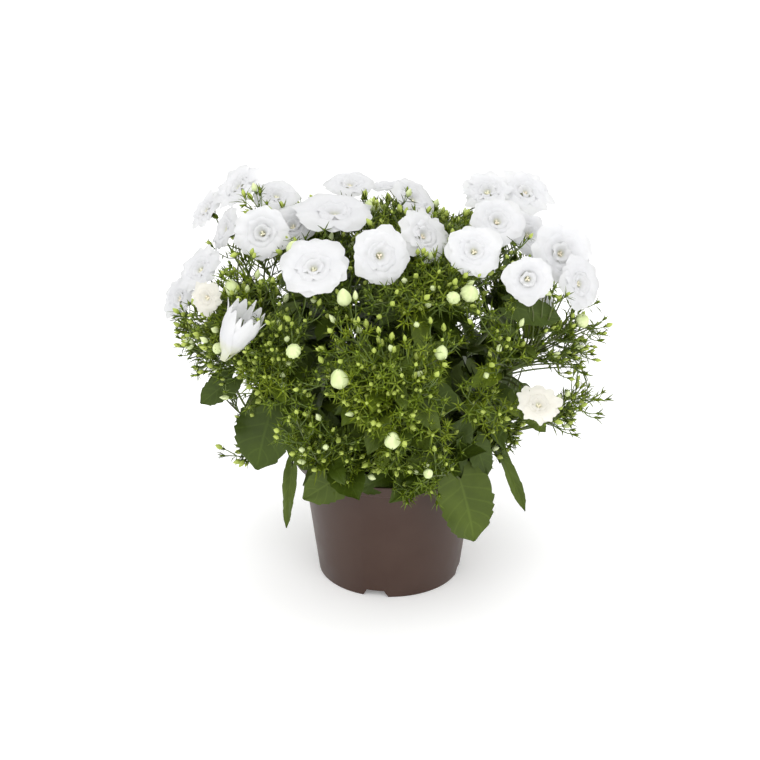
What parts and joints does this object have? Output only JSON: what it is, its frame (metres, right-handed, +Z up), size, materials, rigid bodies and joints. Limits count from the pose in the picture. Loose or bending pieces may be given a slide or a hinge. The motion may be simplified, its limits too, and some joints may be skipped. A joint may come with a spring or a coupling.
{
  "type": "potted bellflower",
  "caption": "Bushy flowering plant in a round tapered pot, with thin branching stems, toothed leaves, small star-shaped buds and double white flowers.",
  "frame": {"origin": "centre of the pot's foot, on the ground, under the middle of the crown's width and depth", "axes": "+Z up along the pot's axis; -Y is the plant's front, the side that the picture shows, and +X is the right of that view"},
  "size_m": [0.2745, 0.262, 0.2493],
  "materials": {
    "pot_plastic": "satin dark brown, injection moulded",
    "potting_soil": "damp dark crumbly peat-based soil",
    "stem_bark": "green stems, browner and woody at the foot",
    "foliage": "green leaves and buds with white petals"
  },
  "bodies": {
    "root": {"pot": "pot_plastic", "soil": "potting_soil", "main_stem": "stem_bark", "bough_lower_1": "stem_bark", "bough_lower_2": "stem_bark", "bough_lower_3": "stem_bark", "bough_lower_4": "stem_bark", "bough_lower_5": "stem_bark", "bough_lower_6": "stem_bark", "bough_lower_7": "stem_bark", "bough_middle_1": "stem_bark", "bough_middle_2": "stem_bark", "bough_middle_3": "stem_bark", "bough_middle_4": "stem_bark", "bough_middle_5": "stem_bark", "bough_middle_6": "stem_bark", "bough_upper_1": "stem_bark", "bough_upper_2": "stem_bark", "bough_upper_3": "stem_bark", "foliage_lower_1": "foliage", "foliage_lower_2": "foliage", "foliage_lower_3": "foliage", "foliage_lower_4": "foliage", "foliage_lower_5": "foliage", "foliage_lower_6": "foliage", "foliage_lower_7": "foliage", "foliage_middle_1": "foliage", "foliage_middle_2": "foliage", "foliage_middle_3": "foliage", "foliage_middle_4": "foliage", "foliage_middle_5": "foliage", "foliage_middle_6": "foliage", "foliage_upper_1": "foliage", "foliage_upper_2": "foliage", "foliage_upper_3": "foliage"}
  },
  "joints": []
}
